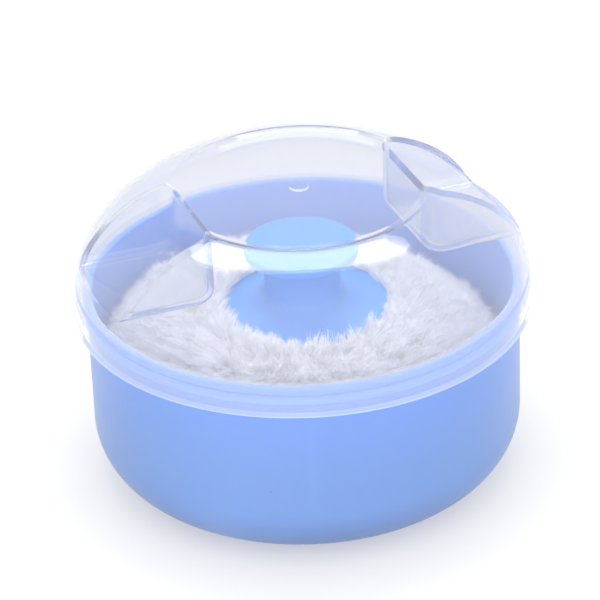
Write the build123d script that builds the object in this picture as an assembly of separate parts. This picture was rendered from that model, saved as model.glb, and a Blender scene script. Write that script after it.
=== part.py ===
from build123d import *
import os
from math import acos, cos, degrees, radians, sin

# Baby powder box with a plush puff: a round bowl, a clear push-on lid with two finger
# pockets, a loose sifter tray and a puff with a spool-shaped handle.
# Millimetres, +Z up, origin at the middle of the foot ring's underside.
# The two finger pockets of the lid lie on -X and +X.

# ---- bowl ----
BOWL_R = 47.8          # outside of the wall
BOWL_H = 45.3          # table to rim
BOWL_WALL = 1.6
BOWL_CORNER_R = 14.0   # outside round between wall and base
FOOT_WIDTH = 2.4       # flat ring that the bowl stands on
FOOT_RECESS = 0.8      # how far the base is raised inside the foot ring
BEAD_H = 2.0           # grip bead under the rim that the lid's skirt slides over
BEAD_OUT = 0.9         # how far the bead stands out from the wall
BEAD_DROP = 1.6        # rim to the top of the bead

# ---- lid ----
LID_WALL = 1.4
LID_OVERLAP = 5.3      # how far the skirt reaches down over the bowl
EDGE_BEAD_H = 1.2      # thick line round the skirt's lower edge
EDGE_BEAD_OUT = 0.35
LID_CREST_H = 28.1     # lower edge to the crest round the top
LID_CREST_R = 28.8     # radius of the crest
DOME_BASE_H = 4.2      # straight part of the skirt, from the lower edge
DOME_START_R = 20.0    # centre of the dome's elliptical section
TOP_DISH = 0.6         # how far the flat top lies under the crest
TOP_SLOPE = 2.2        # width of the slope from the crest to the flat top
CREST_ROUND = 1.6      # round of the crest and of the foot of its slope
SEAT_H = 1.2           # ring inside the lid that rests on the bowl's rim
SEAT_LAND = 0.7        # width of rim that the seat ring covers
NUB_R = 2.2            # moulding gate mark in the middle of the top
NUB_H = 0.5

# ---- finger pockets of the lid ----
POCKET_IN = 25.4       # axis to the pocket's inner wall
POCKET_WIDTH = 27.0
POCKET_FLOOR_H = 12.6  # lid's lower edge to the pocket's floor
POCKET_CORNER_R = 3.6  # upright corners
POCKET_FLOOR_R = 2.0   # round between walls and floor
POCKET_RIM_R = 0.8     # round where a pocket breaks through the dome

# ---- sifter tray ----
TRAY_SEAT_Z = 17.0     # height of the ribs that carry the tray
TRAY_PLATE = 1.4
TRAY_RIM_H = 3.0       # rim above the plate
TRAY_RIM_WALL = 1.2
SIFT_HOLE_R = 1.1
SIFT_RING_STEP = 6.5   # distance from one ring of holes to the next
SIFT_EDGE = 8.0        # solid border outside the last ring
RIB_COUNT = 6
RIB_WIDTH = 1.6
RIB_DEPTH = 3.0

# ---- puff ----
PUFF_H = 20.7          # underside to the plush beside the handle's base
SEAM_H = 7.3           # underside to the seam
PUFF_SAG = 1.5         # crown of the upper slope over a straight line
PUFF_UNDER_R = 6.5     # round at the lower edge
PILE = 3.0             # thickness of plush and backing cloth
SEAM_CORD_R = 0.35
HANDLE_BASE_R = 18.7
HANDLE_BASE_EDGE = 1.3
HANDLE_NEST = 1.3      # how deep the handle's base sits in the plush
HANDLE_FLARE = 4.0     # height of the curved foot of the neck
NECK_R = 8.5
KNOB_R = 12.6
KNOB_EDGE = 1.8
KNOB_TOP_H = 15.4      # underside of the base to the top of the knob
KNOB_FLARE = 3.6       # height of the curve from neck to knob
BACK_PLATE_R = 14.5
BACK_PLATE_T = 1.6
BOSS_R = 5.0
BOSS_GRIP = 9.0        # length of boss inside the handle

# ---- clearances ----
SLIDE_FIT = 0.2        # grip bead to skirt
TRAY_FIT = 0.3         # tray to bowl wall
PUFF_GAP = 0.3         # puff to tray, and plush to the handle's edge
PUFF_SIDE_GAP = 3.0    # plush to bowl wall
FILL_GAP = 0.1         # filling to what wraps it

# ---- sizes that follow ----
BOWL_IN_R = BOWL_R - BOWL_WALL
FLOOR_Z = FOOT_RECESS + BOWL_WALL
LID_EDGE_Z = BOWL_H - LID_OVERLAP
BEAD_R = BOWL_R + BEAD_OUT
SKIRT_IN_R = BEAD_R + SLIDE_FIT
LID_R = SKIRT_IN_R + LID_WALL
TRAY_R = BOWL_IN_R - TRAY_FIT
TRAY_TOP_Z = TRAY_SEAT_Z + TRAY_PLATE
PUFF_R = BOWL_IN_R - PUFF_SIDE_GAP
PUFF_BOTTOM_Z = TRAY_TOP_Z + PUFF_GAP
SEAM_Z = PUFF_BOTTOM_Z + SEAM_H
PUFF_TOP_Z = PUFF_BOTTOM_Z + PUFF_H
HANDLE_BASE_Z = PUFF_TOP_Z - HANDLE_NEST
KNOB_TOP_Z = HANDLE_BASE_Z + KNOB_TOP_H
SOCKET_R = HANDLE_BASE_R + PUFF_GAP


STANDING = (Align.CENTER, Align.CENTER, Align.MIN)


def turned(*lines):
    """Solid of revolution about Z; the lines are drawn as (radius, height)."""
    return revolve(Plane.XZ * make_face(Curve() + list(lines)), Axis.Z)


def round_corner(centre, radius, start, end):
    """Round of an outline about centre, from angle start to angle end in degrees."""
    def at(angle):
        turn = radians(angle)
        return (centre[0] + radius * cos(turn), centre[1] + radius * sin(turn))
    return ThreePointArc(at(start), at((start + end) / 2), at(end))


def bowl_cavity(grow=0.0):
    """Space inside the bowl as a solid, grown outwards by grow."""
    radius = BOWL_CORNER_R - BOWL_WALL
    centre = (BOWL_IN_R - radius, FLOOR_Z + radius)
    side = BOWL_IN_R + grow
    top = BOWL_H + BOWL_WALL
    return turned(
        Polyline(
            (side, centre[1]), (side, top), (0, top), (0, FLOOR_Z - grow), (centre[0], FLOOR_Z - grow)
        ),
        round_corner(centre, radius + grow, -90, 0),
    )


def bowl():
    """Bowl with foot ring, rounded lower edge, grip bead and ribs for the tray."""
    centre = (BOWL_R - BOWL_CORNER_R, BOWL_CORNER_R)
    outside = turned(
        Polyline((BOWL_R, centre[1]), (BOWL_R, BOWL_H), (0, BOWL_H), (0, 0), (centre[0], 0)),
        round_corner(centre, BOWL_CORNER_R, -90, 0),
    )
    shell = outside - bowl_cavity()
    rim = shell.edges().filter_by(GeomType.CIRCLE).group_by(Axis.Z)[-1]
    shell = fillet(rim, BOWL_WALL * 0.45)
    recess_r = centre[0] - FOOT_WIDTH
    shell -= Cone(recess_r, recess_r - FOOT_RECESS, FOOT_RECESS, align=STANDING)
    return shell + grip_bead() + tray_ribs()


def grip_bead():
    """Half-round ring on the wall, just under the rim, that the skirt grips."""
    top = BOWL_H - BEAD_DROP
    low = top - BEAD_H
    root = BOWL_R - BOWL_WALL / 2
    return turned(
        Polyline((BOWL_R, top), (root, top), (root, low), (BOWL_R, low)),
        ThreePointArc((BOWL_R, low), (BEAD_R, (low + top) / 2), (BOWL_R, top)),
    )


def tray_ribs():
    """Upright ribs inside the bowl; their tops carry the sifter tray."""
    rib = Pos(BOWL_IN_R - RIB_DEPTH, 0, 0) * Box(
        RIB_DEPTH + BOWL_WALL, RIB_WIDTH, TRAY_SEAT_Z, align=(Align.MIN, Align.CENTER, Align.MIN)
    )
    ribs = [Rot(0, 0, 360 * (i + 0.5) / RIB_COUNT) * rib for i in range(RIB_COUNT)]
    return Part() + [one & bowl_cavity(BOWL_WALL / 2) for one in ribs]


def dome(inset):
    """The lid's form as a solid, from its lower edge up, drawn in by inset."""
    side = LID_R - inset
    spring = LID_EDGE_Z + DOME_BASE_H
    crest_at = acos((LID_CREST_R - DOME_START_R) / (LID_R - DOME_START_R))
    half_height = (LID_CREST_H - DOME_BASE_H) / sin(crest_at) - inset
    half_width = side - DOME_START_R
    arc = EllipticalCenterArc(
        (DOME_START_R, spring), half_width, half_height, start_angle=0, arc_size=degrees(crest_at)
    )
    crest = arc @ 1
    flat_r = crest.X - TOP_SLOPE
    flat_z = LID_EDGE_Z + LID_CREST_H - TOP_DISH - inset
    low = LID_EDGE_Z - inset
    section = make_face(Curve() + [
        arc,
        Polyline(crest, (flat_r, flat_z), (0, flat_z), (0, low), (side, low), (side, spring)),
    ])
    slope_ends = section.vertices().sort_by_distance((crest.X, crest.Y, 0))[:2]
    return revolve(Plane.XZ * fillet(slope_ends, CREST_ROUND), Axis.Z)


def pocket(grow=0.0):
    """One finger pocket on +X as a solid, grown outwards by grow."""
    floor_z = LID_EDGE_Z + POCKET_FLOOR_H - grow
    block = Pos(POCKET_IN - grow, 0, floor_z) * Box(
        LID_R, POCKET_WIDTH + 2 * grow, LID_CREST_H, align=(Align.MIN, Align.CENTER, Align.MIN)
    )
    uprights = block.edges().filter_by(Axis.Z).group_by(Axis.X)[0]
    block = fillet(uprights, POCKET_CORNER_R + grow)
    return fillet(block.faces().sort_by(Axis.Z)[0].edges(), POCKET_FLOOR_R + grow)


def both_pockets(grow=0.0):
    """The two pockets, half a turn apart."""
    return pocket(grow) + Rot(0, 0, 180) * pocket(grow)


def pocket_rims(cut, whole):
    """Edges of the cut dome that lie on the skin of the whole one, beside a pocket."""
    skin = whole.faces()

    def on_skin(edge):
        places = [Vertex(edge.position_at(share)) for share in (0.25, 0.5, 0.75)]
        return all(min(face.distance_to(place) for face in skin) < 0.01 for place in places)

    def beside_pocket(edge):
        centre = edge.center()
        return (
            centre.Z > LID_EDGE_Z + POCKET_FLOOR_H - 0.01
            and abs(centre.Y) < POCKET_WIDTH / 2 + 0.01
            and abs(centre.X) > POCKET_IN - 0.01
        )

    return [edge for edge in cut.edges() if beside_pocket(edge) and on_skin(edge)]


def seat_ring():
    """Ring inside the lid that lands on the rim of the bowl."""
    inner = BOWL_R - SEAT_LAND
    outer = SKIRT_IN_R + LID_WALL / 2
    return turned(Polyline(
        (inner, BOWL_H), (outer, BOWL_H), (outer, BOWL_H + SEAT_H), (inner, BOWL_H + SEAT_H), close=True
    ))


def edge_bead():
    """Thick line round the lower edge of the skirt."""
    outer = LID_R + EDGE_BEAD_OUT
    root = LID_R - LID_WALL / 2
    top = LID_EDGE_Z + EDGE_BEAD_H
    return turned(Polyline(
        (root, LID_EDGE_Z), (outer, LID_EDGE_Z), (outer, top - EDGE_BEAD_OUT),
        (LID_R, top), (root, top), close=True
    ))


def lid():
    """Clear domed lid with two finger pockets, seat ring, edge bead and gate mark."""
    whole = dome(0)
    cut = whole - both_pockets()
    outside = fillet(pocket_rims(cut, whole), POCKET_RIM_R)
    shell = outside - (dome(LID_WALL) - both_pockets(LID_WALL))
    flat_z = LID_EDGE_Z + LID_CREST_H - TOP_DISH
    nub = Pos(0, 0, flat_z - LID_WALL / 2) * Cylinder(NUB_R, NUB_H + LID_WALL / 2, align=STANDING)
    nub = fillet(nub.edges().sort_by(Axis.Z)[-1], NUB_H * 0.6)
    return shell + seat_ring() + edge_bead() + nub


def sifter_tray():
    """Loose plate with rings of holes and a low rim; it stands on the bowl's ribs."""
    tray = Pos(0, 0, TRAY_SEAT_Z) * Cylinder(TRAY_R, TRAY_PLATE + TRAY_RIM_H, align=STANDING)
    tray -= Pos(0, 0, TRAY_TOP_Z) * Cylinder(TRAY_R - TRAY_RIM_WALL, TRAY_RIM_H, align=STANDING)
    drill = Pos(0, 0, TRAY_SEAT_Z) * Cylinder(SIFT_HOLE_R, TRAY_PLATE, align=STANDING)
    rings = int((TRAY_R - TRAY_RIM_WALL - SIFT_EDGE) / SIFT_RING_STEP)
    holes = [drill]
    for ring in range(1, rings + 1):
        count = 6 * ring
        holes += [
            Rot(0, 0, 360 * i / count) * Pos(ring * SIFT_RING_STEP, 0, 0) * drill for i in range(count)
        ]
    return tray - holes


def upper_slope(inset):
    """Outline of the puff's upper side, from the handle's edge down to the seam."""
    start = (SOCKET_R - inset / 3, PUFF_TOP_Z - inset)
    end = (PUFF_R - inset, SEAM_Z)
    middle = ((start[0] + end[0]) / 2 + PUFF_SAG / 2, (start[1] + end[1]) / 2 + PUFF_SAG)
    return ThreePointArc(end, middle, start)


def plush_top():
    """Upper half of the cover; the handle's base sits in its flat middle."""
    outer = upper_slope(0)
    inner = upper_slope(PILE)
    hole = BOSS_R + PUFF_GAP
    under = HANDLE_BASE_Z - PILE
    return turned(
        outer,
        Polyline(outer @ 1, (SOCKET_R, HANDLE_BASE_Z), (hole, HANDLE_BASE_Z), (hole, under),
                 (SOCKET_R - PILE, under), inner @ 1),
        inner,
        Line(inner @ 0, outer @ 0),
    )


def under_side(inset):
    """Outline of the puff's lower side: from the seam, round the edge, to the axis."""
    centre = (PUFF_R - PUFF_UNDER_R, PUFF_BOTTOM_Z + PUFF_UNDER_R)
    radius = PUFF_UNDER_R - inset
    return [
        Line((PUFF_R - inset, SEAM_Z), (PUFF_R - inset, centre[1])),
        round_corner(centre, radius, 0, -90),
        Line((centre[0], PUFF_BOTTOM_Z + inset), (0, PUFF_BOTTOM_Z + inset)),
    ]


def plush_bottom():
    """Lower half of the cover, the side that touches the powder."""
    return turned(
        *under_side(0),
        *under_side(PILE),
        Line((0, PUFF_BOTTOM_Z), (0, PUFF_BOTTOM_Z + PILE)),
        Line((PUFF_R, SEAM_Z), (PUFF_R - PILE, SEAM_Z)),
    )


def filling():
    """Fibre filling inside the cover, hollowed where the back plate lies."""
    wrap = PILE + FILL_GAP
    outer = upper_slope(wrap)
    under = HANDLE_BASE_Z - wrap
    plate_r = BACK_PLATE_R + FILL_GAP
    plate_z = HANDLE_BASE_Z - PILE - BACK_PLATE_T - FILL_GAP
    return turned(
        *under_side(wrap),
        outer,
        Polyline(outer @ 1, (SOCKET_R - wrap, under), (plate_r, under), (plate_r, plate_z),
                 (0, plate_z), (0, PUFF_BOTTOM_Z + wrap)),
    )


def seam():
    """Round stitched cord where the two halves of the cover meet."""
    return Pos(0, 0, SEAM_Z) * Torus(PUFF_R + SEAM_CORD_R, SEAM_CORD_R)


def handle():
    """Spool-shaped handle: flared base, slim neck, round knob, socket for the boss."""
    base_top = HANDLE_BASE_Z + HANDLE_BASE_EDGE
    neck_low = base_top + HANDLE_FLARE
    knob_low = KNOB_TOP_Z - KNOB_EDGE
    foot = EllipticalCenterArc(
        (HANDLE_BASE_R, neck_low), HANDLE_BASE_R - NECK_R, HANDLE_FLARE, start_angle=180, arc_size=90
    )
    throat = EllipticalCenterArc(
        (KNOB_R, knob_low - KNOB_FLARE), KNOB_R - NECK_R, KNOB_FLARE, start_angle=90, arc_size=90
    )
    spool = turned(
        Polyline((0, HANDLE_BASE_Z), (HANDLE_BASE_R, HANDLE_BASE_Z), foot @ 1),
        foot,
        Line(foot @ 0, throat @ 1),
        throat,
        Polyline(throat @ 0, (KNOB_R, KNOB_TOP_Z), (0, KNOB_TOP_Z), (0, HANDLE_BASE_Z)),
    )
    knob_rim = spool.edges().filter_by(GeomType.CIRCLE).group_by(Axis.Z)[-1]
    spool = fillet(knob_rim, KNOB_EDGE * 0.4)
    socket = Pos(0, 0, HANDLE_BASE_Z) * Cylinder(BOSS_R, BOSS_GRIP, align=STANDING)
    return spool - socket


def back_plate():
    """Disc under the cloth; its boss is pressed into the handle and clamps the cloth."""
    low = HANDLE_BASE_Z - PILE - BACK_PLATE_T
    plate = Pos(0, 0, low) * Cylinder(BACK_PLATE_R, BACK_PLATE_T, align=STANDING)
    boss = Pos(0, 0, low) * Cylinder(BOSS_R, BACK_PLATE_T + PILE + BOSS_GRIP, align=STANDING)
    return plate + boss


PIECES = {
    "bowl": bowl,
    "sifter_tray": sifter_tray,
    "lid": lid,
    "puff_handle": handle,
    "puff_back_plate": back_plate,
    "puff_plush_top": plush_top,
    "puff_plush_bottom": plush_bottom,
    "puff_filling": filling,
    "puff_seam": seam,
}

os.makedirs("parts", exist_ok=True)
for name, make in PIECES.items():
    export_step(make(), f"parts/{name}.step")
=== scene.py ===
import math

import bpy
import numpy as np
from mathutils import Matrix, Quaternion, Vector


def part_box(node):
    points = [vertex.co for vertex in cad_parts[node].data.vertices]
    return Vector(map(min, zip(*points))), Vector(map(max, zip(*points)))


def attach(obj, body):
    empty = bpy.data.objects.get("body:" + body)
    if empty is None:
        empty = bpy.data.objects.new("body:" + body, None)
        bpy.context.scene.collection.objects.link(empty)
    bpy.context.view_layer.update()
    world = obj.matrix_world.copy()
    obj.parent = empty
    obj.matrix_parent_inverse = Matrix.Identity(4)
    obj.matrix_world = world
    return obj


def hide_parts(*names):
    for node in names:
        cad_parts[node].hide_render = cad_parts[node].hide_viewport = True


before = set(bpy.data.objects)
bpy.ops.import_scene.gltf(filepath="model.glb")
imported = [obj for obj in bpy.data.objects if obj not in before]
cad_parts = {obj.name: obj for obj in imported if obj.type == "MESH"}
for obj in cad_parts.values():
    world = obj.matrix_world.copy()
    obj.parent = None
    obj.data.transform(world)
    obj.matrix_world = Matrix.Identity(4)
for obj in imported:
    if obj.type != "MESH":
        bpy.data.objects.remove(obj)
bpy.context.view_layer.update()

MM = 0.001
CLOTH_WALL = 0.6 * MM            # thickness of the backing cloth

TENT_RIM = 1.0                   # brightness of the tent at the horizon
TENT_TOP = 0.55                  # and straight above
FRONT_GLOW = 0.95                # more of it in front of the box
FRONT_WAY = (-0.34, -0.94, 0.45)  # towards the middle of that glow
OVERHEAD_POWER = 5.8             # watts of the oval softbox
OVERHEAD_PLACE = (0.14, 0.40, 0.98)

# ---------------------------------------------------------------- places from the frame
HANDLE_LOW, HANDLE_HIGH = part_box("puff_handle")
UNDER_LOW, UNDER_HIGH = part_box("puff_plush_bottom")
PLATE_LOW, PLATE_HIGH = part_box("puff_back_plate")
COVER_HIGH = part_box("puff_plush_top")[1]
TRAY_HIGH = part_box("sifter_tray")[1]
BOWL_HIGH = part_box("bowl")[1]

LID_EDGE_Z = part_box("lid")[0].z
PUFF_R = COVER_HIGH.x            # outside of the pile at the seam
PUFF_TOP_Z = COVER_HIGH.z        # pile beside the handle's base
PUFF_LOW_Z = UNDER_LOW.z
PLATE_R = PLATE_HIGH.x
PLATE_LOW_Z = PLATE_LOW.z
SEAM_Z = UNDER_HIGH.z
HANDLE_R = HANDLE_HIGH.x
HANDLE_BASE_Z = HANDLE_LOW.z

PILE_DEPTH = 2.6 * MM            # cloth of the cover lies this far inside the pile
CLOTH_R = PUFF_R - PILE_DEPTH
CLOTH_LOW_Z = PUFF_LOW_Z + 1.0 * MM
WALL_R = BOWL_HIGH.x - 2.6 * MM  # just inside the bowl's wall
TRAY_R = TRAY_HIGH.x - 1.7 * MM  # just inside the tray's rim
CROWN_TURN = math.radians(160)   # the pile stands highest on this side
FRONT_TURN = math.radians(-110)  # and is plump again towards the front
SIDE_RISE = 4.0                  # millimetres that it stands higher there
FRONT_RISE = 3.0
LUMP_RISE = 0.6

# ---------------------------------------------------------------- sizes and colours of the finishes
SKIN_GRAIN = 0.03 * MM           # relief of the orange-peel skin of the opaque mouldings
BOWL_BLUE = (0.25, 0.42, 0.89, 1)
HANDLE_BLUE = (0.03, 0.28, 0.79, 1)
TRAY_WHITE = (0.85, 0.87, 0.9, 1)
LID_TINT = (0.832, 0.825, 0.835, 1)


# ---------------------------------------------------------------- camera, floor, light
def make_camera():
    """Camera in front of the box, a little to its left, looking down on it."""
    azimuth = math.radians(-20.1)
    elevation = math.radians(29.59)
    roll = math.radians(-2.21)
    distance = 0.7145
    back = Vector((
        math.sin(azimuth) * math.cos(elevation),
        -math.cos(azimuth) * math.cos(elevation),
        math.sin(elevation),
    ))
    data = bpy.data.cameras.new("camera")
    data.lens = 194.0
    data.shift_x = -0.0052
    data.shift_y = -0.0043
    camera = bpy.data.objects.new("camera", data)
    bpy.context.scene.collection.objects.link(camera)
    camera.location = Vector((0, 0, LID_EDGE_Z)) + back * distance
    aim = (-back).to_track_quat("-Z", "Y")
    camera.rotation_mode = "QUATERNION"
    camera.rotation_quaternion = aim @ Quaternion((0, 0, 1), roll)
    bpy.context.scene.camera = camera


def make_tent():
    """White studio tent all round that glows more in front of the box."""
    world = bpy.data.worlds.new("studio")
    bpy.context.scene.world = world
    world.use_nodes = True
    tree = world.node_tree
    link = tree.links.new
    background = tree.nodes["Background"]
    place = tree.nodes.new("ShaderNodeTexCoord")
    split = tree.nodes.new("ShaderNodeSeparateXYZ")
    link(place.outputs["Generated"], split.inputs["Vector"])
    square = tree.nodes.new("ShaderNodeMath")
    square.operation = "POWER"
    square.inputs[1].default_value = 2.0
    link(split.outputs["Z"], square.inputs[0])
    height = tree.nodes.new("ShaderNodeMapRange")
    height.inputs["To Min"].default_value = TENT_RIM
    height.inputs["To Max"].default_value = TENT_TOP
    link(square.outputs[0], height.inputs["Value"])
    facing = tree.nodes.new("ShaderNodeVectorMath")
    facing.operation = "DOT_PRODUCT"
    facing.inputs[1].default_value = Vector(FRONT_WAY).normalized()
    link(place.outputs["Generated"], facing.inputs[0])
    glow = tree.nodes.new("ShaderNodeMapRange")
    glow.interpolation_type = "SMOOTHSTEP"
    glow.inputs["From Min"].default_value = 0.3
    glow.inputs["To Max"].default_value = FRONT_GLOW
    link(facing.outputs["Value"], glow.inputs["Value"])
    total = tree.nodes.new("ShaderNodeMath")
    link(height.outputs["Result"], total.inputs[0])
    link(glow.outputs["Result"], total.inputs[1])
    link(total.outputs[0], background.inputs["Strength"])
    background.inputs["Color"].default_value = (1, 1, 1, 1)


def make_softbox():
    """Oval lamp overhead and behind, which shines on the lid's flat top and shoulder."""
    data = bpy.data.lights.new("overhead", "AREA")
    data.shape = "ELLIPSE"
    data.size = 1.0
    data.size_y = 0.5
    data.energy = OVERHEAD_POWER
    lamp = bpy.data.objects.new("overhead", data)
    bpy.context.scene.collection.objects.link(lamp)
    lamp.location = OVERHEAD_PLACE
    lamp.rotation_mode = "QUATERNION"
    lamp.rotation_quaternion = (Vector((0, 0, 0.04)) - lamp.location).to_track_quat("-Z", "Y")


# ---------------------------------------------------------------- node helpers
def socket(node, name, value):
    """Sets a plain value on one of a node's inputs."""
    node.inputs[name].default_value = value


def new_material(name):
    """New material with one Principled shader; returns it, its tree and the shader."""
    material = bpy.data.materials.new(name)
    material.use_nodes = True
    tree = material.node_tree
    tree.nodes.clear()
    out = tree.nodes.new("ShaderNodeOutputMaterial")
    shader = tree.nodes.new("ShaderNodeBsdfPrincipled")
    tree.links.new(shader.outputs["BSDF"], out.inputs["Surface"])
    return material, tree, shader


def add(tree, kind, inputs=None, **settings):
    """New node; inputs holds its values by socket name, settings its own properties."""
    node = tree.nodes.new("ShaderNode" + kind)
    for key, value in settings.items():
        setattr(node, key, value)
    for key, value in (inputs or {}).items():
        node.inputs[key].default_value = value
    return node


def blend(tree, factor, low, high):
    """Colour between low and high by the factor socket; returns its output."""
    mix = add(tree, "Mix", data_type="RGBA")
    mix.inputs["A"].default_value = low
    mix.inputs["B"].default_value = high
    tree.links.new(factor, mix.inputs["Factor"])
    return mix.outputs["Result"]


def rough_skin(tree, shader, height, strength, distance):
    """Feeds the height socket to the shader as a bump of this strength and depth."""
    bump = add(tree, "Bump", {"Strength": strength, "Distance": distance})
    tree.links.new(height, bump.inputs["Height"])
    tree.links.new(bump.outputs["Normal"], shader.inputs["Normal"])


def make_group(name, inputs, outputs):
    """Empty node group with float or colour sockets; returns tree, input and output nodes."""
    kinds = {"f": "NodeSocketFloat", "c": "NodeSocketColor"}
    group = bpy.data.node_groups.new(name, "ShaderNodeTree")
    for label, kind, value in inputs:
        made = group.interface.new_socket(label, in_out="INPUT", socket_type=kinds[kind])
        made.default_value = value
    for label, kind in outputs:
        group.interface.new_socket(label, in_out="OUTPUT", socket_type=kinds[kind])
    return group, group.nodes.new("NodeGroupInput"), group.nodes.new("NodeGroupOutput")


def moulded_group():
    """Colour drift, fine orange-peel grain and faint scuffs of a moulded plastic surface."""
    group, given, result = make_group(
        "moulded_surface",
        [("Colour", "c", (0.5, 0.5, 0.5, 1)), ("Drift", "f", 0.04),
         ("Gloss", "f", 0.3), ("Scuff", "f", 0.1)],
        [("Colour", "c"), ("Roughness", "f"), ("Height", "f")],
    )
    link = group.links.new
    place = add(group, "TexCoord")
    broad = add(group, "TexNoise", {"Scale": 22.0, "Detail": 3.0, "Roughness": 0.5})
    fine = add(group, "TexNoise", {"Scale": 900.0, "Detail": 2.0, "Roughness": 0.6})
    rub = add(group, "TexNoise", {"Scale": 160.0, "Detail": 5.0, "Roughness": 0.7, "Distortion": 1.2})
    for texture in (broad, fine, rub):
        link(place.outputs["Object"], texture.inputs["Vector"])
    shift = add(group, "Math", operation="SUBTRACT")
    link(broad.outputs["Fac"], shift.inputs[0])
    shift.inputs[1].default_value = 0.5
    amount = add(group, "Math", operation="MULTIPLY")
    link(shift.outputs[0], amount.inputs[0])
    link(given.outputs["Drift"], amount.inputs[1])
    value = add(group, "Math", operation="ADD")
    value.inputs[1].default_value = 1.0
    link(amount.outputs[0], value.inputs[0])
    tint = add(group, "HueSaturation")
    link(given.outputs["Colour"], tint.inputs["Color"])
    link(value.outputs[0], tint.inputs["Value"])
    speck = add(group, "TexVoronoi", {"Scale": 75.0})
    link(place.outputs["Object"], speck.inputs["Vector"])
    dot = add(group, "MapRange", {"From Min": 0.008, "From Max": 0.02, "To Min": 0.68, "To Max": 1.0})
    link(speck.outputs["Distance"], dot.inputs["Value"])
    dusted = add(group, "HueSaturation")
    link(tint.outputs["Color"], dusted.inputs["Color"])
    link(dot.outputs["Result"], dusted.inputs["Value"])
    link(dusted.outputs["Color"], result.inputs["Colour"])
    marks = add(group, "MapRange", {"From Min": 0.55, "From Max": 0.8, "To Min": 0.0, "To Max": 1.0})
    link(rub.outputs["Fac"], marks.inputs["Value"])
    worn = add(group, "Math", operation="MULTIPLY_ADD")
    link(marks.outputs["Result"], worn.inputs[0])
    link(given.outputs["Scuff"], worn.inputs[1])
    link(given.outputs["Gloss"], worn.inputs[2])
    link(worn.outputs[0], result.inputs["Roughness"])
    link(fine.outputs["Fac"], result.inputs["Height"])
    return group


def painted_glow_group():
    """Painted glow of a clear wall: a faint milky glow all over it, and a brighter painted line of light
    along its cut lower edge.
    """
    group, given, result = make_group(
        "painted_lid_glow", [("Edge", "f", LID_EDGE_Z), ("Height", "f", 0.35 * MM)], [("Colour", "c")])
    link = group.links.new
    place = add(group, "TexCoord")
    split = add(group, "SeparateXYZ")
    link(place.outputs["Object"], split.inputs["Vector"])
    top = add(group, "Math", operation="ADD")
    link(given.outputs["Edge"], top.inputs[0])
    link(given.outputs["Height"], top.inputs[1])
    fade = add(group, "MapRange", {"To Min": 1.0, "To Max": 0.0}, interpolation_type="SMOOTHSTEP")
    link(split.outputs["Z"], fade.inputs["Value"])
    link(given.outputs["Edge"], fade.inputs["From Min"])
    link(top.outputs[0], fade.inputs["From Max"])
    uneven = add(group, "TexNoise", {"Scale": 60.0, "Detail": 2.0})
    link(place.outputs["Object"], uneven.inputs["Vector"])
    level = add(group, "MapRange", {"To Min": 0.7, "To Max": 1.2})
    link(uneven.outputs["Fac"], level.inputs["Value"])
    share = add(group, "Math", operation="MULTIPLY")
    link(fade.outputs["Result"], share.inputs[0])
    link(level.outputs["Result"], share.inputs[1])
    # painted glow: faint cool glow on the whole wall, bright along its lower edge
    tint = blend(group, share.outputs[0], (0.066, 0.094, 0.11, 1), (0.8, 0.86, 1.0, 1))
    link(tint, result.inputs["Colour"])
    return group


MOULDED = moulded_group()
PAINTED_GLOW = painted_glow_group()


# ---------------------------------------------------------------- finishes
def moulded_plastic(name, colour, gloss, scuff, grain, drift=0.05):
    """Opaque moulded plastic; grain is the bump height of its skin in metres."""
    material, tree, shader = new_material(name)
    link = tree.links.new
    surface = tree.nodes.new("ShaderNodeGroup")
    surface.node_tree = MOULDED
    for key, value in (("Colour", colour), ("Drift", drift), ("Gloss", gloss), ("Scuff", scuff)):
        surface.inputs[key].default_value = value
    link(surface.outputs["Colour"], shader.inputs["Base Color"])
    link(surface.outputs["Roughness"], shader.inputs["Roughness"])
    rough_skin(tree, shader, surface.outputs["Height"], 0.5, grain)
    socket(shader, "Specular IOR Level", 0.45)
    socket(shader, "Subsurface Weight", 0.45)
    socket(shader, "Subsurface Radius", (0.4, 0.6, 1.0))
    socket(shader, "Subsurface Scale", 3 * MM)
    return material


def clear_plastic():
    """Clear, faintly milky plastic: hardly bends what lies behind it, but shines on top."""
    material, tree, shader = new_material("clear_plastic")
    out = tree.nodes["Material Output"]
    link = tree.links.new
    surface = tree.nodes.new("ShaderNodeGroup")
    surface.node_tree = MOULDED
    for key, value in (("Colour", LID_TINT), ("Drift", 0.01), ("Gloss", 0.02), ("Scuff", 0.05)):
        surface.inputs[key].default_value = value
    link(surface.outputs["Colour"], shader.inputs["Base Color"])
    rough_skin(tree, shader, surface.outputs["Height"], 0.15, 0.02 * MM)
    # painted glow: the lid gives off a faint milky light, and a bright line along its lower edge
    edge = tree.nodes.new("ShaderNodeGroup")
    edge.node_tree = PAINTED_GLOW
    link(edge.outputs["Colour"], shader.inputs["Emission Color"])
    socket(shader, "Emission Strength", 0.28)
    socket(shader, "Roughness", 0.1)
    socket(shader, "IOR", 1.065)
    socket(shader, "Transmission Weight", 0.93)
    socket(shader, "Coat Weight", 0.85)
    socket(shader, "Coat Roughness", 0.05)
    socket(shader, "Coat IOR", 1.52)
    path = add(tree, "LightPath")
    see_through = add(tree, "BsdfTransparent", {"Color": (0.99, 0.99, 1.0, 1)})
    mix = add(tree, "MixShader")
    link(path.outputs["Is Shadow Ray"], mix.inputs["Fac"])
    link(shader.outputs["BSDF"], mix.inputs[1])
    link(see_through.outputs["BSDF"], mix.inputs[2])
    link(mix.outputs["Shader"], out.inputs["Surface"])
    body = add(tree, "VolumeAbsorption", {"Color": (0.81, 0.825, 0.905, 1), "Density": 150.0})
    link(body.outputs["Volume"], out.inputs["Volume"])
    return material


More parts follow.
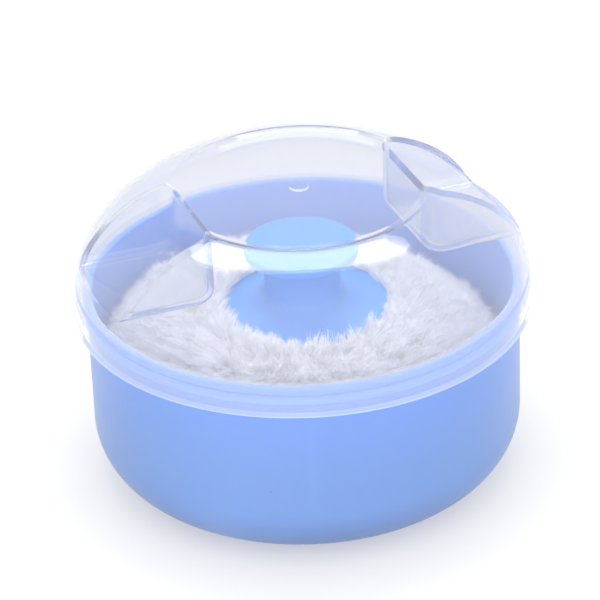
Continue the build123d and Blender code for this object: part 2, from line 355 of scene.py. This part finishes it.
def plush_material():
    """White pile, with painted shade a little darker at the root of each hair, and a faint painted glow
    standing in for the light that fibres pass on.
    """
    material, tree, shader = new_material("plush_pile")
    link = tree.links.new
    along = add(tree, "Attribute", attribute_name="along")
    place = add(tree, "TexCoord")
    tuft = add(tree, "TexNoise", {"Scale": 260.0, "Detail": 2.0})
    link(place.outputs["Object"], tuft.inputs["Vector"])
    # painted shade: each hair darker and bluer at its root than at its tip
    root_shade_to_tip = blend(tree, along.outputs["Fac"], (0.91, 0.91, 0.98, 1), (0.94, 0.945, 0.995, 1))
    shade = add(tree, "MapRange", {"To Min": 0.94, "To Max": 1.03})
    link(tuft.outputs["Fac"], shade.inputs["Value"])
    tint = add(tree, "HueSaturation")
    link(root_shade_to_tip, tint.inputs["Color"])
    link(shade.outputs["Result"], tint.inputs["Value"])
    link(tint.outputs["Color"], shader.inputs["Base Color"])
    # painted glow: the pile gives off a little light in its own colour, in place of the light that fibres
    # pass on
    link(tint.outputs["Color"], shader.inputs["Emission Color"])
    socket(shader, "Emission Strength", 0.09)
    socket(shader, "Roughness", 0.75)
    socket(shader, "Specular IOR Level", 0.25)
    return material


def backing_material():
    """Knitted white backing cloth that the pile grows from."""
    material, tree, shader = new_material("plush_backing")
    link = tree.links.new
    place = add(tree, "TexCoord")
    knit = add(tree, "TexVoronoi", {"Scale": 900.0})
    soft = add(tree, "TexNoise", {"Scale": 120.0, "Detail": 4.0})
    for texture in (knit, soft):
        link(place.outputs["Object"], texture.inputs["Vector"])
    colour = blend(tree, soft.outputs["Fac"], (0.74, 0.76, 0.83, 1), (0.88, 0.88, 0.92, 1))
    link(colour, shader.inputs["Base Color"])
    rough_skin(tree, shader, knit.outputs["Distance"], 0.6, 0.2 * MM)
    socket(shader, "Roughness", 0.95)
    return material


def wadding_material():
    """Loose crimped polyester fibre, with painted shade darker in the hollows between its strands."""
    material, tree, shader = new_material("fibre_wadding")
    link = tree.links.new
    place = add(tree, "TexCoord")
    strands = add(tree, "TexNoise", {"Scale": 420.0, "Detail": 6.0, "Roughness": 0.75, "Distortion": 2.5})
    link(place.outputs["Object"], strands.inputs["Vector"])
    # painted shade: the noise that bumps the strands also darkens their hollows
    colour = blend(tree, strands.outputs["Fac"], (0.72, 0.73, 0.75, 1), (0.93, 0.93, 0.94, 1))
    link(colour, shader.inputs["Base Color"])
    rough_skin(tree, shader, strands.outputs["Fac"], 0.9, 0.4 * MM)
    socket(shader, "Roughness", 1.0)
    socket(shader, "Sheen Weight", 0.2)
    return material


def thread_material():
    """White twisted sewing thread, with painted shade in the grooves of its twist."""
    material, tree, shader = new_material("seam_thread")
    link = tree.links.new
    place = add(tree, "TexCoord")
    twist = add(tree, "TexWave", {"Scale": 1400.0, "Distortion": 1.5}, bands_direction="Z")
    link(place.outputs["Object"], twist.inputs["Vector"])
    # painted shade: the twist's grooves, low in the bump, are darker
    colour = blend(tree, twist.outputs["Fac"], (0.7, 0.71, 0.76, 1), (0.9, 0.9, 0.93, 1))
    link(colour, shader.inputs["Base Color"])
    rough_skin(tree, shader, twist.outputs["Fac"], 0.5, 0.06 * MM)
    socket(shader, "Roughness", 0.7)
    return material


# ---------------------------------------------------------------- the puff's cloth cover
def cover_outline():
    """(radius, height) of the backing cloth, from under the handle to the middle of the underside."""
    slope_r = CLOTH_R - 2.2 * MM
    return [
        (HANDLE_R * 0.55, HANDLE_BASE_Z - 0.25 * MM),
        (HANDLE_R - 0.4 * MM, HANDLE_BASE_Z - 0.3 * MM),
        (HANDLE_R + 2.5 * MM, PUFF_TOP_Z - 2.6 * MM),
        (HANDLE_R + 9.0 * MM, PUFF_TOP_Z - 4.6 * MM),
        (HANDLE_R + 15.0 * MM, PUFF_TOP_Z - 7.3 * MM),
        (slope_r, SEAM_Z + 3.0 * MM),
        (CLOTH_R, SEAM_Z),
        (CLOTH_R - 0.5 * MM, SEAM_Z - 2.2 * MM),
        (CLOTH_R - 3.4 * MM, CLOTH_LOW_Z + 1.3 * MM),
        (CLOTH_R - 8.0 * MM, CLOTH_LOW_Z),
        (CLOTH_R * 0.4, CLOTH_LOW_Z),
        (0.0, CLOTH_LOW_Z),
    ]


def crown(points):
    """Height that the plump side and the lumps of the filling add to points of the cover."""
    radius = np.hypot(points[:, 0], points[:, 1])
    turn = np.arctan2(points[:, 1], points[:, 0])
    share = np.clip((radius - HANDLE_R - 1.5 * MM) / (14 * MM), 0, 1)
    share = share * share * (3 - 2 * share)
    side = np.clip(0.5 + 0.5 * np.cos(turn - CROWN_TURN), 0, 1) ** 2
    above = np.clip((points[:, 2] - SEAM_Z + 2 * MM) / (4 * MM), 0, 1)
    front = np.clip(np.cos(turn - FRONT_TURN), 0, 1)
    rise = SIDE_RISE * side + FRONT_RISE * front + LUMP_RISE * lumps(points, 260, 5)
    return above * share * (rise * MM)


def smooth_outline(points, steps):
    """Catmull-Rom curve through the points, steps samples to each span."""
    pts = np.array(points)
    pts = np.vstack([2 * pts[0] - pts[1], pts, 2 * pts[-1] - pts[-2]])
    out = []
    for i in range(1, len(pts) - 2):
        a, b, c, d = pts[i - 1], pts[i], pts[i + 1], pts[i + 2]
        for t in np.linspace(0, 1, steps, endpoint=False):
            out.append(0.5 * ((2 * b) + (c - a) * t + (2 * a - 5 * b + 4 * c - d) * t * t
                              + (3 * b - a - 3 * c + d) * t ** 3))
    out.append(pts[-2])
    return np.array(out)


def mesh_object(name, verts, faces, material):
    """New piece from its vertices and faces, which already point outwards."""
    mesh = bpy.data.meshes.new(name)
    mesh.from_pydata([tuple(v) for v in verts], [], faces)
    mesh.validate()
    mesh.update()
    piece = bpy.data.objects.new(name, mesh)
    bpy.context.scene.collection.objects.link(piece)
    mesh.materials.append(material)
    return piece


def turned_mesh(name, outline, sides, material):
    """Mesh of an outline turned about Z; an end on the axis becomes one vertex."""
    verts, rings = [], []
    for radius, height in outline:
        if radius < 1e-6:
            rings.append([len(verts)])
            verts.append((0, 0, height))
            continue
        ring = []
        for i in range(sides):
            turn = 2 * math.pi * i / sides
            ring.append(len(verts))
            verts.append((radius * math.cos(turn), radius * math.sin(turn), height))
        rings.append(ring)
    faces = []
    for low, high in zip(rings, rings[1:]):
        for i in range(sides):
            j = (i + 1) % sides
            if len(high) == 1:
                faces.append((low[j], low[i], high[0]))
            elif len(low) == 1:
                faces.append((low[0], high[i], high[j]))
            else:
                faces.append((low[j], low[i], high[i], high[j]))
    return mesh_object(name, verts, faces, material)


def vertex_places(piece):
    """Array of the places of a piece's vertices, one row each."""
    return np.array([v.co[:] for v in piece.data.vertices])


def raise_and_smooth(piece, lifts):
    """Lifts every vertex by its own amount and shades the piece smooth."""
    for vertex, lift in zip(piece.data.vertices, lifts):
        vertex.co.z += lift
    for face in piece.data.polygons:
        face.use_smooth = True


def give_wall(piece, thickness):
    """Turns an open skin into a closed cloth of this thickness, grown inwards."""
    wall = piece.modifiers.new("wall", "SOLIDIFY")
    wall.thickness = thickness
    wall.offset = -1.0
    bpy.ops.object.select_all(action="DESELECT")
    bpy.context.view_layer.objects.active = piece
    piece.select_set(True)
    bpy.ops.object.modifier_apply(modifier=wall.name)
    piece.select_set(False)


def make_wadding():
    """Fibre filling between the two halves of the cover, flat under the back plate."""
    gap = CLOTH_WALL + 0.4 * MM
    outline = smooth_outline([
        (0.0, PLATE_LOW_Z - 0.3 * MM),
        (PLATE_R, PLATE_LOW_Z - 0.3 * MM),
        (PLATE_R + 1.2 * MM, PLATE_LOW_Z + 1.0 * MM),
        (HANDLE_R + 2.5 * MM, PUFF_TOP_Z - 3.2 * MM - gap),
        (HANDLE_R + 9.0 * MM, PUFF_TOP_Z - 5.2 * MM - gap),
        (HANDLE_R + 15.0 * MM, PUFF_TOP_Z - 7.8 * MM - gap),
        (CLOTH_R - 2.6 * MM - gap, SEAM_Z + 2.0 * MM),
        (CLOTH_R - 0.8 * MM - gap, SEAM_Z - 0.5 * MM),
        (CLOTH_R - 4.2 * MM - gap, CLOTH_LOW_Z + 1.6 * MM + gap),
        (CLOTH_R - 9.0 * MM, CLOTH_LOW_Z + 0.5 * MM + gap),
        (CLOTH_R * 0.4, CLOTH_LOW_Z + 0.4 * MM + gap),
        (0.0, CLOTH_LOW_Z + 0.4 * MM + gap),
    ], 5)
    outline[0, 0] = outline[-1, 0] = 0.0
    piece = turned_mesh("puff_wadding", outline, 120, wadding_material())
    points = vertex_places(piece)
    lift = crown(points) - 0.3 * MM * np.abs(lumps(points, 900, 41))
    inner = np.clip((np.hypot(points[:, 0], points[:, 1]) - PLATE_R) / (3 * MM), 0, 1)
    raise_and_smooth(piece, 0.98 * (lift * inner))
    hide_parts("puff_filling")
    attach(piece, "puff")


def make_stitches():
    """Overcast thread round the seam: one short slanted loop after another."""
    count, rings, sides = 150, 7, 5
    thread = 0.22 * MM           # radius of the thread
    loop = 0.75 * MM             # how far a loop stands out from the seam's edge
    reach = 1.15 * MM            # and how far it goes up and down
    verts, faces = [], []
    for i in range(count):
        turn = 2 * math.pi * i / count
        first = len(verts)
        for ring in range(rings):
            bend = math.pi * (ring / (rings - 1) - 0.5)
            slant = turn + 0.016 * math.sin(bend)
            radius = CLOTH_R - 0.5 * MM + loop * math.cos(bend)
            middle = Vector((radius * math.cos(slant), radius * math.sin(slant),
                             SEAM_Z + reach * math.sin(bend)))
            out = math.cos(bend)
            way = Vector((math.cos(turn) * out, math.sin(turn) * out, math.sin(bend)))
            side = Vector((-math.sin(turn), math.cos(turn), 0))
            for k in range(sides):
                at = 2 * math.pi * k / sides
                verts.append(middle + (way * math.cos(at) + side * math.sin(at)) * thread)
        for ring in range(rings - 1):
            for k in range(sides):
                a = first + ring * sides + k
                b = first + ring * sides + (k + 1) % sides
                faces.append((a, b, b + sides, a + sides))
        faces.append([first + k for k in reversed(range(sides))])
        faces.append([first + (rings - 1) * sides + k for k in range(sides)])
    piece = mesh_object("puff_stitches", verts, faces, thread_material())
    at_seam = vertex_places(piece)
    at_seam[:, 2] = SEAM_Z
    raise_and_smooth(piece, crown(at_seam))
    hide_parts("puff_seam")
    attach(piece, "puff")


# ---------------------------------------------------------------- the puff's pile
HAIR_SIDES = 3
HAIR_RINGS = 3
HAIR_TAPER = (1.0, 0.85, 0.55)   # share of the width at each ring; the tip is a point
ROOT_DEPTH = 0.3 * MM            # hairs start this deep in the cloth
STRAY = 0.22                     # how far single hairs lean away from their neighbours
CURL = 0.25                      # how far their tips turn aside
TUFT = 1.5 * MM                  # size of the tufts that they gather into
SQUEEZE = 1.2 * MM               # depth over which hairs give way to a wall
HAIRS_PER_PIECE = 12000


def lumps(points, scale, seed, count=24):
    """Smooth noise from -1 to 1: a sum of waves of about scale radians per metre, each its own way."""
    rng = np.random.default_rng(seed)
    total = np.zeros(len(points))
    for _ in range(count):
        way = rng.normal(size=3)
        way *= scale / np.linalg.norm(way) * rng.uniform(0.6, 1.5)
        total += np.sin(points @ way + rng.uniform(0, 2 * math.pi))
    return np.clip(total / math.sqrt(count / 2) * 0.6, -1, 1)


def unit(vectors):
    """The vectors, each scaled to length one."""
    return vectors / np.maximum(np.linalg.norm(vectors, axis=1, keepdims=True), 1e-12)


def hair_roots(outline, spacing_per_mm2, rng):
    """Random roots on the turned outline, evenly spread by area: place, normal and way down the slope."""
    start, end = outline[:-1], outline[1:]
    span = np.linalg.norm(end - start, axis=1)
    area = span * (start[:, 0] + end[:, 0]) * math.pi
    count = int(area.sum() / MM ** 2 * spacing_per_mm2)
    pick = rng.choice(len(area), size=count, p=area / area.sum())
    t = rng.random(count)[:, None]
    flat = start[pick] * (1 - t) + end[pick] * t
    turn = rng.uniform(0, 2 * math.pi, count)
    way = (end - start)[pick] / span[pick][:, None]
    c, s = np.cos(turn), np.sin(turn)
    place = np.stack([flat[:, 0] * c, flat[:, 0] * s, flat[:, 1]], 1)
    down = np.stack([way[:, 0] * c, way[:, 0] * s, way[:, 1]], 1)
    normal = np.stack([-way[:, 1] * c, -way[:, 1] * s, way[:, 0]], 1)
    return place, normal, down


def gather(place, centres, steps, seed, rng):
    """Draws the hairs that grow close together towards one pointed tuft."""
    warp = np.stack([lumps(place, 1300, seed + 20 + k) for k in range(3)], 1)
    cells = np.floor((place + 0.5 * TUFT * warp) / TUFT).astype(int)
    tuft = np.unique(cells, axis=0, return_inverse=True)[1].reshape(-1)
    size = np.bincount(tuft).astype(float)
    strength = rng.uniform(0.35, 0.9, len(place))
    for step in range(1, len(centres)):
        mean = np.stack([np.bincount(tuft, centres[step][:, k]) / size for k in range(3)], 1)
        pull = (strength * steps[step])[:, None]
        centres[step] = centres[step] * (1 - pull) + mean[tuft] * pull


def hair_piece(name, place, normal, down, length, width, lean, wild, droop, seed, material):
    """Curved tapering hairs as one mesh: length, lean and droop may differ from root to root."""
    rng = np.random.default_rng(seed)
    count = len(place)
    across = np.cross(normal, down)
    # neighbours sway together, in broad waves and in fine ones; single hairs stray from them
    sway_a = lumps(place, 900, seed + 1)
    sway_b = lumps(place, 900, seed + 2)
    fine_a = lumps(place, 2600, seed + 3)
    fine_b = lumps(place, 2600, seed + 4)
    stray = rng.normal(size=(count, 2)) * STRAY
    tilt_down = lean + wild * (0.55 * sway_a + 0.6 * fine_a) + stray[:, 0]
    tilt_side = wild * (0.75 * sway_b + 0.6 * fine_b) + stray[:, 1]
    first = unit(normal + 0.6 * (down * tilt_down[:, None] + across * tilt_side[:, None]))
    curl = rng.normal(size=(count, 3)) * CURL
    last = unit(first + down * (0.55 * tilt_down)[:, None] + across * (0.5 * tilt_side)[:, None]
                + curl + np.array([0, 0, -1.0]) * np.reshape(droop, (-1, 1)))
    reach = length * (1 + 0.18 * lumps(place, 1500, seed + 5)) * rng.uniform(0.72, 1.12, count)
    steps = np.linspace(0, 1, HAIR_RINGS + 1)
    centres = [place - normal * ROOT_DEPTH]
    for t0, t1 in zip(steps, steps[1:]):
        mid = (t0 + t1) / 2
        centres.append(centres[-1] + unit(first * (1 - mid) + last * mid) * (reach * (t1 - t0))[:, None])
    gather(place, centres, steps, seed, rng)
    side_a = unit(np.cross(first, rng.normal(size=(count, 3))))
    side_b = unit(np.cross(first, side_a))
    per_hair = HAIR_RINGS * HAIR_SIDES + 1
    verts = np.empty((count, per_hair, 3))
    along = np.empty((count, per_hair))
    for ring in range(HAIR_RINGS):
        for side in range(HAIR_SIDES):
            turn = 2 * math.pi * side / HAIR_SIDES
            offset = (side_a * math.cos(turn) + side_b * math.sin(turn)) * width * HAIR_TAPER[ring] / 2
            verts[:, ring * HAIR_SIDES + side] = centres[ring] + offset
            along[:, ring * HAIR_SIDES + side] = steps[ring]
    verts[:, -1] = centres[-1]
    along[:, -1] = 1.0
    quads = []
    for ring in range(HAIR_RINGS - 1):
        for side in range(HAIR_SIDES):
            a = ring * HAIR_SIDES + side
            b = ring * HAIR_SIDES + (side + 1) % HAIR_SIDES
            quads.append((a, b, b + HAIR_SIDES, a + HAIR_SIDES))
    low = (HAIR_RINGS - 1) * HAIR_SIDES
    tips = [(low + side, low + (side + 1) % HAIR_SIDES, per_hair - 1) for side in range(HAIR_SIDES)]
    tips.append((0, 2, 1))       # closes the root
    base = (np.arange(count) * per_hair)[:, None]
    quads = (base[:, :, None] + np.array(quads)[None]).reshape(count, -1)
    tips = (base[:, :, None] + np.array(tips)[None]).reshape(count, -1)
    loops = np.concatenate([quads, tips], axis=1).reshape(-1)
    sizes = np.tile([4] * (HAIR_SIDES * (HAIR_RINGS - 1)) + [3] * (HAIR_SIDES + 1), count)
    starts = np.concatenate([[0], np.cumsum(sizes)[:-1]])
    mesh = bpy.data.meshes.new(name)
    mesh.vertices.add(count * per_hair)
    mesh.vertices.foreach_set("co", verts.reshape(-1).astype(np.float32))
    mesh.loops.add(len(loops))
    mesh.loops.foreach_set("vertex_index", loops.astype(np.int32))
    mesh.polygons.add(len(sizes))
    mesh.polygons.foreach_set("loop_start", starts.astype(np.int32))
    mesh.polygons.foreach_set("use_smooth", np.ones(len(sizes), bool))
    mesh.update(calc_edges=True)
    mark = mesh.attributes.new("along", "FLOAT", "POINT")
    mark.data.foreach_set("value", along.reshape(-1).astype(np.float32))
    mesh.materials.append(material)
    piece = bpy.data.objects.new(name, mesh)
    bpy.context.scene.collection.objects.link(piece)
    return piece


def press_in(piece):
    """Hairs that would poke through the bowl or the tray lie against it instead."""
    mesh = piece.data
    flat = np.empty(len(mesh.vertices) * 3, np.float32)
    mesh.vertices.foreach_get("co", flat)
    points = flat.reshape(-1, 3).astype(float)
    points[:, 2] = np.maximum(points[:, 2], PUFF_LOW_Z - 0.1 * MM)
    radius = np.hypot(points[:, 0], points[:, 1])
    low = np.clip((TRAY_HIGH.z + 1.5 * MM - points[:, 2]) / (1 * MM), 0, 1)
    limit = WALL_R * (1 - low) + TRAY_R * low
    soft = limit - SQUEEZE
    over = np.maximum(radius - soft, 0)
    squeezed = soft + SQUEEZE * (1 - np.exp(-over / SQUEEZE))
    scale = np.where(over > 0, squeezed / np.maximum(radius, 1e-9), 1.0)
    points[:, :2] *= scale[:, None]
    mesh.vertices.foreach_set("co", points.reshape(-1).astype(np.float32))
    mesh.update()


def pile_pieces(name, roots, share, seed, material, shape):
    """Splits the roots by direction into pieces; shape gives each part's hair settings."""
    place, normal, down = roots
    order = np.argsort(np.arctan2(place[:, 1], place[:, 0]))
    made = []
    for k, part in enumerate(np.array_split(order, math.ceil(len(order) / share))):
        p, n, d = place[part], normal[part], down[part]
        made.append(hair_piece(f"{name}_{k + 1}", p, n, d, seed=seed + k, material=material,
                               **shape(p, n)))
    return made


def top_shape(place, normal):
    """Long hairs that lean outwards, steeper beside the handle's base."""
    radius = np.hypot(place[:, 0], place[:, 1])
    near = np.clip((HANDLE_R + 5 * MM - radius) / (5 * MM), 0, 1)
    return dict(length=(6.4 - 0.8 * near) * MM, width=0.14 * MM, lean=0.5 - 0.7 * near,
                wild=0.75, droop=0.12)


def fringe_shape(place, normal):
    """Hairs round the handle's base: they stand beside it and fold in over its edge."""
    turn = np.arctan2(place[:, 1], place[:, 0])
    back = 0.5 + 0.5 * np.cos(turn - math.radians(110))
    return dict(length=(4.0 + 2.6 * back) * MM, width=0.13 * MM, lean=-0.25 - 1.5 * back,
                wild=0.45, droop=0.0)


def under_shape(place, normal):
    """Short hairs under the puff, and longer ones round its side."""
    flat = np.clip(-normal[:, 2], 0, 1)
    return dict(length=(5.0 - 3.6 * flat ** 2) * MM, width=0.2 * MM, lean=0.4, wild=0.7, droop=0.0)


def make_puff():
    """The cover's two halves with their walls, and all the pile that grows from them."""
    outline = smooth_outline(cover_outline(), 6)
    cloth = backing_material()
    pile = plush_material()
    seam_row = int(np.argmax(outline[:, 0]))
    top = turned_mesh("puff_cover_top", outline[:seam_row + 1], 144, cloth)
    bottom = turned_mesh("puff_cover_bottom", outline[seam_row:], 144, cloth)
    for piece, node in ((top, "puff_plush_top"), (bottom, "puff_plush_bottom")):
        raise_and_smooth(piece, crown(vertex_places(piece)))
        give_wall(piece, CLOTH_WALL)
        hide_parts(node)
        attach(piece, "puff")
    rng = np.random.default_rng(11)
    # each part of the pile: its rows of the outline, hairs to the square millimetre, seed and shape
    edge_row = int(np.argmax(outline[:, 0] > HANDLE_R - 0.2 * MM))
    fringe_row = int(np.argmax(outline[:, 0] > HANDLE_R + 2.0 * MM))
    pieces = []
    for name, rows, density, seed, shape in (
            ("puff_pile_top", outline[edge_row:seam_row + 1], 9.5, 100, top_shape),
            ("puff_pile_fringe", outline[edge_row:fringe_row + 1], 22.0, 200, fringe_shape),
            ("puff_pile_under", outline[seam_row:], 3.4, 300, under_shape)):
        place, normal, down = hair_roots(rows, density, rng)
        place[:, 2] += crown(place)
        pieces += pile_pieces(name, (place, normal, down), HAIRS_PER_PIECE, seed, pile, shape)
    for piece in pieces:
        press_in(piece)
        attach(piece, "puff")


# ---------------------------------------------------------------- the scene
def paint(node, material):
    """Gives a CAD node its material; its mesh stays as it is."""
    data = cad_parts[node].data
    data.materials.clear()
    data.materials.append(material)


def make_floor():
    """White paper that glows evenly, with a painted contact shadow round what stands on it, and gives
    little light back to the underside of what stands on it.
    """
    bpy.ops.mesh.primitive_plane_add(size=6.0, location=(0, 0, 0))
    floor = bpy.context.object
    floor.name = "floor"
    material, tree, shader = new_material("floor_paper")
    out = tree.nodes["Material Output"]
    socket(shader, "Base Color", (0.16, 0.16, 0.161, 1))
    socket(shader, "Roughness", 0.9)
    socket(shader, "Specular IOR Level", 0.0)
    socket(shader, "Emission Strength", 0.92)
    # painted shadow: the floor's glow darkens by ambient occlusion close to what stands on it
    near_box = add(tree, "AmbientOcclusion", {"Distance": 0.03}, samples=8)
    painted_contact_shadow = blend(tree, near_box.outputs["AO"], (0.5, 0.52, 0.62, 1), (1, 1, 1, 1))
    tree.links.new(painted_contact_shadow, shader.inputs["Emission Color"])
    place = add(tree, "TexCoord")
    away = add(tree, "VectorMath", operation="LENGTH")
    near = add(tree, "MapRange", {"From Min": 0.07, "From Max": 0.25, "To Min": 0.0, "To Max": 0.3})
    tree.links.new(place.outputs["Object"], away.inputs[0])
    tree.links.new(away.outputs["Value"], near.inputs["Value"])
    dim = add(tree, "BsdfDiffuse")
    tree.links.new(near.outputs["Result"], dim.inputs["Color"])
    path = add(tree, "LightPath")
    mix = add(tree, "MixShader")
    tree.links.new(path.outputs["Is Diffuse Ray"], mix.inputs["Fac"])
    tree.links.new(shader.outputs["BSDF"], mix.inputs[1])
    tree.links.new(dim.outputs["BSDF"], mix.inputs[2])
    tree.links.new(mix.outputs["Shader"], out.inputs["Surface"])
    floor.data.materials.append(material)


bpy.ops.object.select_all(action="DESELECT")
make_camera()
make_floor()
make_tent()
make_softbox()
bpy.context.scene.view_settings.view_transform = "Standard"
paint("bowl", moulded_plastic("bowl_plastic", BOWL_BLUE, 0.34, 0.1, SKIN_GRAIN))
paint("puff_handle", moulded_plastic("handle_plastic", HANDLE_BLUE, 0.3, 0.1, SKIN_GRAIN))
white = moulded_plastic("white_plastic", TRAY_WHITE, 0.45, 0.1, SKIN_GRAIN)
paint("sifter_tray", white)
paint("puff_back_plate", white)
paint("lid", clear_plastic())
make_wadding()
make_stitches()
make_puff()
